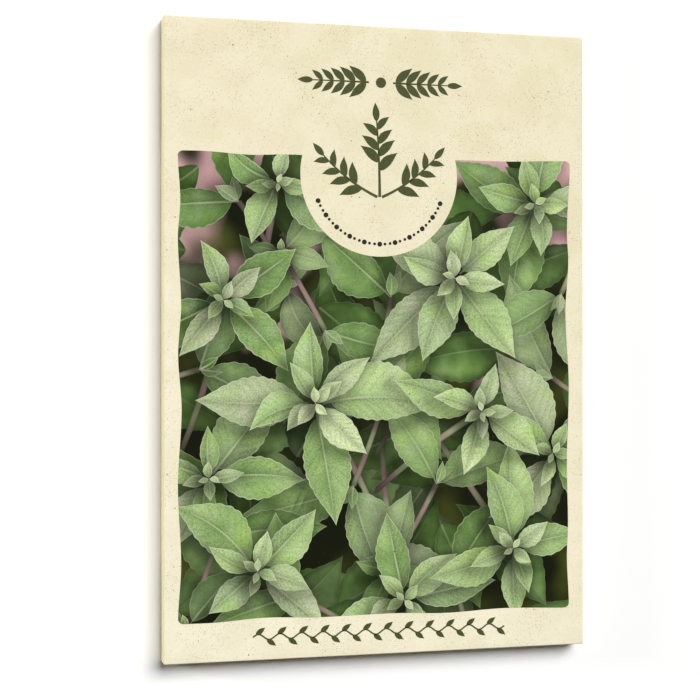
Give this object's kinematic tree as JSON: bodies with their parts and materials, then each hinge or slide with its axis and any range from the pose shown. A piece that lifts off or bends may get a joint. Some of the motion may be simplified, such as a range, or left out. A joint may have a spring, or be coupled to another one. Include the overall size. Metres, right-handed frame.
{
  "type": "seed packet",
  "caption": "Flat paper seed packet, folded from one sheet and glued shut over loose seeds, with a leafy printed front and closing flaps on its back.",
  "frame": {"origin": "on the surface that the packet lies on, under the middle of its outline", "axes": "+X across the front panel to its right, +Y up the front panel, +Z out of the front panel"},
  "size_m": [0.09, 0.13, 0.0051],
  "materials": {
    "cream_paper": "uncoated recycled paper with fine specks, matt, printed on the front",
    "dry_glue": "dried paper glue, satin",
    "seed_husk": "dry dark brown seed coat, slightly glossy"
  },
  "bodies": {
    "root": {"packet_paper": "cream_paper", "glue_seam": "dry_glue", "glue_bottom_flap": "dry_glue", "glue_top_flap": "dry_glue", "seed_01": "seed_husk", "seed_02": "seed_husk", "seed_03": "seed_husk", "seed_04": "seed_husk", "seed_05": "seed_husk", "seed_06": "seed_husk", "seed_07": "seed_husk", "seed_08": "seed_husk", "seed_09": "seed_husk", "seed_10": "seed_husk", "seed_11": "seed_husk", "seed_12": "seed_husk", "seed_13": "seed_husk", "seed_14": "seed_husk", "seed_15": "seed_husk", "seed_16": "seed_husk", "seed_17": "seed_husk", "seed_18": "seed_husk", "seed_19": "seed_husk", "seed_20": "seed_husk", "seed_21": "seed_husk", "seed_22": "seed_husk", "seed_23": "seed_husk", "seed_24": "seed_husk", "seed_25": "seed_husk", "seed_26": "seed_husk", "seed_27": "seed_husk", "seed_28": "seed_husk", "seed_29": "seed_husk", "seed_30": "seed_husk", "seed_31": "seed_husk", "seed_32": "seed_husk", "seed_33": "seed_husk", "seed_34": "seed_husk", "seed_35": "seed_husk", "seed_36": "seed_husk", "seed_37": "seed_husk", "seed_38": "seed_husk", "seed_39": "seed_husk", "seed_40": "seed_husk"}
  },
  "joints": []
}
